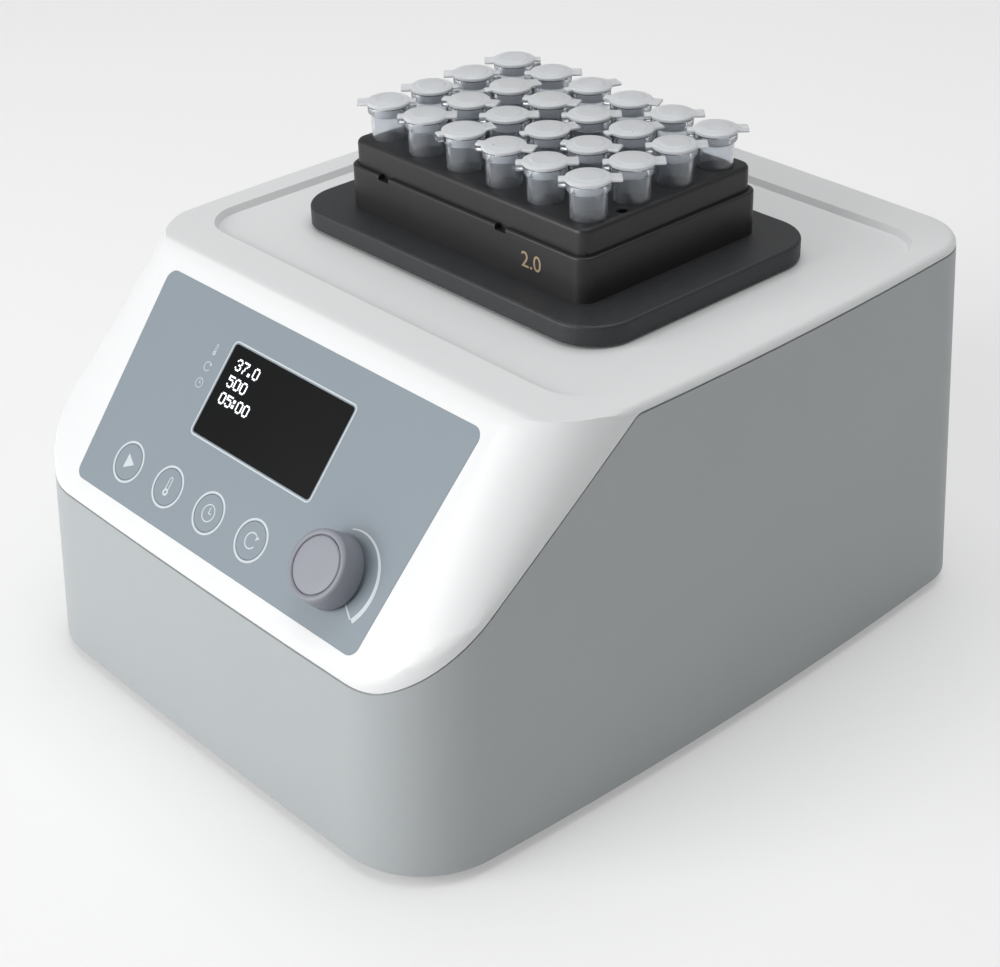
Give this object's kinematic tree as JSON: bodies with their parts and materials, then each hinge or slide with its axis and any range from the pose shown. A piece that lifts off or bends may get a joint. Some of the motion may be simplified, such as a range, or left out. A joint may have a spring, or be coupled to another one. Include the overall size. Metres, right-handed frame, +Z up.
{
  "type": "thermal mixer",
  "caption": "Bench thermal mixer: two-part housing with sloped control panel and knob, orbiting heated block holding snap-cap sample tubes.",
  "frame": {"origin": "middle of the bounding box on the bench, under the rubber feet", "axes": "+Z up, +X to the right of a person facing the panel, +Y to the back"},
  "size_m": [0.2008, 0.2464, 0.1646],
  "materials": {
    "cover": "satin white moulding",
    "housing": "satin grey moulding",
    "steel_plate": "zinc plated sheet",
    "rubber_foot": "matt black rubber",
    "screw_steel": "plated screws",
    "overlay": "blue-grey satin film",
    "display": "smoked clear window",
    "display_glass": "dark display module",
    "circuit_board": "green board",
    "key_face": "blue-grey satin film",
    "switch_black": "black moulding",
    "encoder_metal": "nickel plated",
    "knob": "satin dark grey moulding",
    "knob_disc": "satin grey disc",
    "skirt": "fine black texture",
    "block": "satin black anodised aluminium",
    "aluminium": "bare aluminium",
    "ceramic": "white ceramic",
    "foam": "closed-cell foam",
    "bearing_steel": "ground steel",
    "bronze": "sintered bronze",
    "motor_can": "plated steel can",
    "tube_clear": "clear polypropylene",
    "cap_milky": "milky polypropylene",
    "fan_black": "black moulding",
    "supply_can": "perforated steel can"
  },
  "bodies": {
    "base": {"lower_housing": "housing", "top_cover": "cover", "base_plate": "steel_plate", "rubber_feet": "rubber_foot", "base_screws": "screw_steel", "cover_screws": "screw_steel", "control_overlay": "overlay", "display_window": "display", "display_module": "display_glass", "control_board": "circuit_board", "key_switches": "switch_black", "encoder_body": "encoder_metal", "motor": "motor_can", "motor_bracket": "steel_plate", "bracket_bushes": "bronze", "bracket_pillars": "steel_plate", "power_supply": "supply_can", "main_board": "circuit_board", "power_inlet": "switch_black", "switch_body": "switch_black", "fan_frame": "fan_black"},
    "drive": {"motor_shaft": "bearing_steel", "drive_eccentric": "bearing_steel", "counterweight": "steel_plate"},
    "platform": {"platform_plate": "aluminium", "drive_bearing": "bearing_steel", "platform_bushes": "bronze", "heat_sink": "aluminium", "insulation_frame": "foam", "thermoelectric_modules": "ceramic", "heater_plate": "aluminium", "platform_skirt": "skirt"},
    "block": {"sample_block": "block", "block_collar": "block"},
    "samples_1": {"tubes_row_1": "tube_clear", "caps_row_1": "cap_milky"},
    "samples_2": {"tubes_row_2": "tube_clear", "caps_row_2": "cap_milky"},
    "samples_3": {"tubes_row_3": "tube_clear", "caps_row_3": "cap_milky"},
    "samples_4": {"tubes_row_4": "tube_clear", "caps_row_4": "cap_milky"},
    "front_sample": {"front_tube": "tube_clear"},
    "front_cap": {"front_tube_cap": "cap_milky"},
    "plunger": {"encoder_plunger": "encoder_metal"},
    "knob": {"encoder_shaft": "encoder_metal", "control_knob": "knob", "knob_cap": "knob_disc"},
    "rocker": {"power_rocker": "switch_black"},
    "fan": {"fan_rotor": "fan_black"},
    "key_1": {"key_1": "key_face"},
    "idler_1": {"idler_1": "bearing_steel"},
    "key_2": {"key_2": "key_face"},
    "idler_2": {"idler_2": "bearing_steel"},
    "key_3": {"key_3": "key_face"},
    "idler_3": {"idler_3": "bearing_steel"},
    "key_4": {"key_4": "key_face"},
    "idler_4": {"idler_4": "bearing_steel"}
  },
  "joints": [
    {"name": "drive_spin", "type": "hinge", "parent": "base", "child": "drive", "pos_m": [-0.0015, 0.022, 0.06], "axis": [0, 0, 1], "continuous": true},
    {"name": "platform_orbit", "type": "hinge", "parent": "drive", "child": "platform", "pos_m": [0, 0.022, 0.072], "axis": [0, 0, 1], "continuous": true},
    {"name": "block_lift", "type": "slide", "parent": "platform", "child": "block", "axis": [0, 0, 1], "range_m": [0, 0.05]},
    {"name": "idler_spin_1", "type": "hinge", "parent": "base", "child": "idler_1", "pos_m": [-0.0515, -0.012, 0.06], "axis": [0, 0, 1], "continuous": true},
    {"name": "idler_spin_2", "type": "hinge", "parent": "base", "child": "idler_2", "pos_m": [0.0485, -0.012, 0.06], "axis": [0, 0, 1], "continuous": true},
    {"name": "idler_spin_3", "type": "hinge", "parent": "base", "child": "idler_3", "pos_m": [-0.0515, 0.056, 0.06], "axis": [0, 0, 1], "continuous": true},
    {"name": "idler_spin_4", "type": "hinge", "parent": "base", "child": "idler_4", "pos_m": [0.0485, 0.056, 0.06], "axis": [0, 0, 1], "continuous": true},
    {"name": "samples_lift_1", "type": "slide", "parent": "block", "child": "samples_1", "axis": [0, 0, 1], "range_m": [0, 0.045]},
    {"name": "samples_lift_2", "type": "slide", "parent": "block", "child": "samples_2", "axis": [0, 0, 1], "range_m": [0, 0.045]},
    {"name": "samples_lift_3", "type": "slide", "parent": "block", "child": "samples_3", "axis": [0, 0, 1], "range_m": [0, 0.045]},
    {"name": "samples_lift_4", "type": "slide", "parent": "block", "child": "samples_4", "axis": [0, 0, 1], "range_m": [0, 0.045]},
    {"name": "front_sample_lift", "type": "slide", "parent": "block", "child": "front_sample", "axis": [0, 0, 1], "range_m": [0, 0.045]},
    {"name": "front_cap_hinge", "type": "hinge", "parent": "front_sample", "child": "front_cap", "pos_m": [0.038, -0.01064, 0.1629], "axis": [0.7431, -0.6691, 0], "range_deg": [0, 160]},
    {"name": "knob_push", "type": "slide", "parent": "base", "child": "plunger", "axis": [0, 0.7627, -0.6468], "range_m": [0, 0.0008], "stiffness_N_per_m": 2000, "springref_m": -0.0004},
    {"name": "knob_spin", "type": "hinge", "parent": "plunger", "child": "knob", "pos_m": [0.048, -0.10449, 0.08027], "axis": [0, -0.7627, 0.6468], "continuous": true},
    {"name": "rocker_tilt", "type": "hinge", "parent": "base", "child": "rocker", "pos_m": [-0.018, 0.118, 0.039], "axis": [1, 0, 0], "range_deg": [-22, 0]},
    {"name": "fan_spin", "type": "hinge", "parent": "base", "child": "fan", "pos_m": [0.04, 0.105, 0.07], "axis": [0, 1, 0], "continuous": true},
    {"name": "key_press_1", "type": "slide", "parent": "base", "child": "key_1", "axis": [0, 0.7627, -0.6468], "range_m": [0, 0.0004], "stiffness_N_per_m": 1000, "springref_m": -0.0003},
    {"name": "key_press_2", "type": "slide", "parent": "base", "child": "key_2", "axis": [0, 0.7627, -0.6468], "range_m": [0, 0.0004], "stiffness_N_per_m": 1000, "springref_m": -0.0003},
    {"name": "key_press_3", "type": "slide", "parent": "base", "child": "key_3", "axis": [0, 0.7627, -0.6468], "range_m": [0, 0.0004], "stiffness_N_per_m": 1000, "springref_m": -0.0003},
    {"name": "key_press_4", "type": "slide", "parent": "base", "child": "key_4", "axis": [0, 0.7627, -0.6468], "range_m": [0, 0.0004], "stiffness_N_per_m": 1000, "springref_m": -0.0003}
  ],
  "couplings": [
    {"joint": "platform_orbit", "follows": "drive_spin", "ratio": -1},
    {"joint": "idler_spin_1", "follows": "drive_spin", "ratio": 1},
    {"joint": "idler_spin_2", "follows": "drive_spin", "ratio": 1},
    {"joint": "idler_spin_3", "follows": "drive_spin", "ratio": 1},
    {"joint": "idler_spin_4", "follows": "drive_spin", "ratio": 1}
  ]
}
